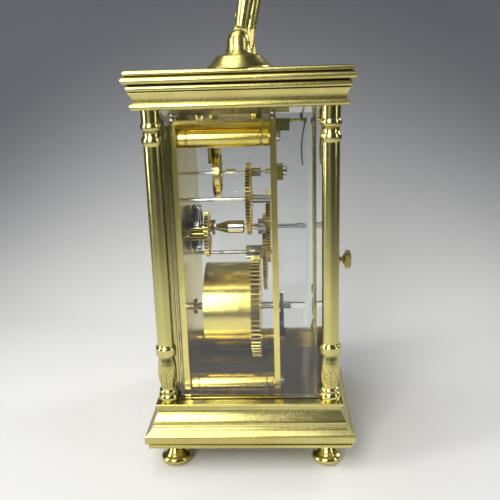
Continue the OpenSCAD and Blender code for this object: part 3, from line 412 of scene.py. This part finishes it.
def strokes(text):
    """(x at the top, x at the foot, width) of each stroke of a numeral."""
    total = sum(WIDTHS[c] for c in text)
    x = -total / 2
    out = []
    for c in text:
        w = WIDTHS[c]
        if c == "I":
            out.append((x + w / 2, x + w / 2, STEM))
        else:
            lean = w / 2 - SERIF
            mid = x + w / 2
            foot = 0.0 if c == "V" else lean
            out.append((mid - lean, mid + foot, THICK))
            out.append((mid + lean, mid - foot, THIN))
        x += w
    return out


def dial_marks():
    """Roman numerals and a minute track, painted on the dial."""
    lo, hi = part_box("dial")
    cx, cz = (lo.x + hi.x) / 2, (lo.z + hi.z) / 2
    bm = bmesh.new()

    def bar(angle, x0, x1, r0, r1, w, rise=0.0):
        """A stroke from (x0, r1) to (x1, r0), turned clockwise from twelve by angle."""
        c, s = math.cos(angle), math.sin(angle)
        pts = ((x0 - w / 2, r1), (x0 + w / 2, r1), (x1 + w / 2, r0), (x1 - w / 2, r0))
        prism(bm, [(cx + px * c + pz * s, cz - px * s + pz * c) for px, pz in pts],
              lo.y - PAINT - rise, lo.y + PAINT)

    for hour, text in enumerate(NUMERALS):
        angle = math.radians(30 * hour)
        for k, (top, foot, w) in enumerate(strokes(text)):
            bar(angle, top, foot, NUMERAL_R - NUMERAL_H, NUMERAL_R + NUMERAL_H, w, k * APART)
        wide = sum(WIDTHS[c] for c in text) + THICK
        for side in (-1, 1):
            r = NUMERAL_R + side * NUMERAL_H
            bar(angle, 0, 0, r - LINE / 2, r + LINE / 2, wide, 8 * APART)
    for minute in range(60):
        w = FIVE_TICK if minute % 5 == 0 else TICK
        bar(math.radians(6 * minute), 0, 0, TRACK[0], TRACK[1], w)
    for r in TRACK:
        ring(bm, (cx, cz), r - LINE / 2, r + LINE / 2, lo.y - PAINT - 4 * APART, lo.y + PAINT)
    bmesh.ops.recalc_face_normals(bm, faces=bm.faces)
    new_piece("dial_numerals", bm, paint("dial_paint", (0.012, 0.012, 0.014)), "case")


VASE_RISE = (12.6 * MM, 21.1 * MM)    # over the foot of the column's tenon
STEM_R, VEIN_R, EDGE_R = 0.11 * MM, 0.099 * MM, 0.088 * MM
STEM_STEPS, VEIN_STEPS, EDGE_STEPS, LINE_SIDES = 12, 8, 14, 6
VEINS = ((0.12, 0.55), (0.32, 0.75), (0.52, 0.6), (0.72, 0.36))    # (start, reach in radians)
VEIN_RISE, EDGE_ROOT, EDGE_REACH = 0.24, 0.08, 0.62
OUTSIDE = 30 * MM


def tube(bm, pts, outs, r):
    """A half-sunk line along pts, thin at both ends, with outs the directions out of the brass."""
    rows = []
    for i, p in enumerate(pts):
        d = (pts[min(i + 1, len(pts) - 1)] - pts[max(i - 1, 0)]).normalized()
        side = d.cross(outs[i]).normalized()
        taper = 0.35 + 0.65 * math.sin(math.pi * (i + 0.5) / len(pts))
        turns = (2 * math.pi * k / LINE_SIDES for k in range(LINE_SIDES))
        low = outs[i] * 0.5
        rows.append([bm.verts.new(p + (side * math.cos(a) + low * math.sin(a)) * r * taper)
                     for a in turns])
    for a, b in zip(rows, rows[1:]):
        for k in range(LINE_SIDES):
            m = (k + 1) % LINE_SIDES
            bm.faces.new((a[k], a[m], b[m], b[k]))
    bm.faces.new(rows[0])
    bm.faces.new(reversed(rows[-1]))


def engrave(name, mat):
    """Four leaves engraved round the vase at the foot of a column."""
    tree = BVHTree.FromPolygons([v.co for v in nodes[name].data.vertices],
                                [tuple(p.vertices) for p in nodes[name].data.polygons])
    lo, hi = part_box(name)
    cx, cy = (lo.x + hi.x) / 2, (lo.y + hi.y) / 2
    z0, z1 = (lo.z + rise for rise in VASE_RISE)
    bm = bmesh.new()

    def on(angle, z):
        """The point on the column's surface at a height and angle, and the way out from it."""
        out = Vector((math.cos(angle), math.sin(angle), 0))
        hit = tree.ray_cast(Vector((cx, cy, z)) + out * OUTSIDE, -out)[0]
        return hit, out

    def line(uv, angle, r):
        """A tube through (turn, share of the vase's height) points, about the leaf's angle."""
        got = [on(angle + u, z0 + (z1 - z0) * v) for u, v in uv]
        tube(bm, [g[0] for g in got], [g[1] for g in got], r)

    stem = [t / STEM_STEPS for t in range(STEM_STEPS + 1)]
    vein = [t / VEIN_STEPS for t in range(VEIN_STEPS + 1)]
    edge = [t / EDGE_STEPS for t in range(EDGE_STEPS + 1)]
    for k in range(4):
        angle = math.pi / 2 * k
        line([(0.0, t) for t in stem], angle, STEM_R)
        for v, reach in VEINS:
            for side in (-1, 1):
                line([(side * reach * t, v + VEIN_RISE * math.sin(math.pi / 2 * t)) for t in vein],
                     angle, VEIN_R)
        for side in (-1, 1):
            line([(side * (EDGE_ROOT + EDGE_REACH * math.sin(math.pi * t)), t) for t in edge],
                 angle, EDGE_R)
    bmesh.ops.recalc_face_normals(bm, faces=bm.faces)
    new_piece("leaf_" + name, bm, mat, "case")


dial_marks()
tarnish = engraved("brass_engraved")
for column in ("column_front_left", "column_front_right", "column_rear_left", "column_rear_right"):
    engrave(column, tarnish)


# ---------- floor and light ----------

FLOOR_FRONT, FLOOR_SIDE, BACKDROP_TOP = 6.0, 8.0, 4.0
BEND_X, BEND, BEND_STEPS = -0.12, 0.26, 24
# the last colour here is painted shade, the near black the paper turns to away from the clock
PAPER, PAPER_PAINTED_SHADE = ((0.70, 0.70, 0.69), (0.74, 0.74, 0.73)), (0.08, 0.085, 0.10)
CLOCK = (0, 0, 0.09)        # where the lights aim
BOUNCES, GLOSSY_BOUNCES = 16, 6
ROOM, ROOM_LIGHT = (0.8, 0.85, 0.92), 0.06
SHADE_FALLOFF = (0.10, 0.46)      # distance from the clock over which painted shade darkens the paper, as round a pool of light
FADES = (1.2, 3.2)          # distance over which it takes the tone of the room


def sweep():
    """Pale floor that curves up into a plain backdrop, with painted shade that darkens it away
    from the clock like a pool of light.
    """
    bm = bmesh.new()
    turn = (math.pi / 2 * k / BEND_STEPS for k in range(BEND_STEPS + 1))
    path = [(FLOOR_FRONT, 0.0)]
    path += [(BEND_X - BEND * math.sin(t), BEND - BEND * math.cos(t)) for t in turn]
    path += [(BEND_X - BEND, BACKDROP_TOP)]
    rows = [[bm.verts.new((x, y, z)) for x, z in path] for y in (-FLOOR_SIDE, FLOOR_SIDE)]
    for i in range(len(path) - 1):
        bm.faces.new((rows[0][i], rows[0][i + 1], rows[1][i + 1], rows[1][i]))
    mesh = bpy.data.meshes.new("floor")
    bm.to_mesh(mesh)
    bm.free()
    for p in mesh.polygons:
        p.use_smooth = True
    ob = bpy.data.objects.new("floor", mesh)
    bpy.context.scene.collection.objects.link(ob)
    s = Shader("floor_paper", PAPER[1], 0.0, 0.75)
    grain = s.noise(s.place, 500, 3, 0.6)
    away = s.add("VectorMath", s.place, operation="LENGTH").outputs[1]
    pale = s.mix(grain, *PAPER)
    # Painted pool of light: pale paper round the clock, painted dark further off.
    light_pool = s.mix(s.span(away, *SHADE_FALLOFF, ease="SMOOTHSTEP"), pale, PAPER_PAINTED_SHADE)
    s.set("Base Color", s.mix(s.span(away, *FADES), light_pool, ROOM))
    s.set("Normal", s.bump(grain, 20e-6))
    mesh.materials.append(s.mat)


def softbox(name, place, size, power, tint=(1, 1, 1)):
    """A rectangular light that faces the clock. The camera sees it only in reflections."""
    data = bpy.data.lights.new(name, "AREA")
    data.shape = "RECTANGLE"
    data.size, data.size_y = size
    data.energy = power
    data.color = tint
    ob = bpy.data.objects.new(name, data)
    ob.location = place
    ob.rotation_euler = (Vector(CLOCK) - Vector(place)).to_track_quat("-Z", "Y").to_euler()
    ob.visible_camera = False
    bpy.context.scene.collection.objects.link(ob)
    return ob


sweep()
softbox("key", (0.55, -0.18, 0.38), (0.24, 0.50), 3.4, (1, 0.985, 0.95))
softbox("dial_side", (0.22, -0.62, 0.30), (0.14, 0.6), 2.8, (1, 0.99, 0.97))
softbox("door_side", (0.30, 0.60, 0.30), (0.08, 0.5), 0.8)
rear = softbox("rear", (-0.30, 0.52, 0.42), (0.24, 0.30), 1.6, (1, 0.99, 0.97))
rear.visible_transmission = False
softbox("over", (0.10, -0.26, 0.95), (0.8, 0.56), 4.6)
world = bpy.data.worlds.new("studio")
world.use_nodes = True
background = world.node_tree.nodes["Background"]
background.inputs["Color"].default_value = (*ROOM, 1)
background.inputs["Strength"].default_value = ROOM_LIGHT
bpy.context.scene.world = world
bpy.context.scene.view_settings.view_transform = "Standard"
bpy.context.scene.cycles.max_bounces = BOUNCES
bpy.context.scene.cycles.transmission_bounces = BOUNCES
bpy.context.scene.cycles.glossy_bounces = GLOSSY_BOUNCES
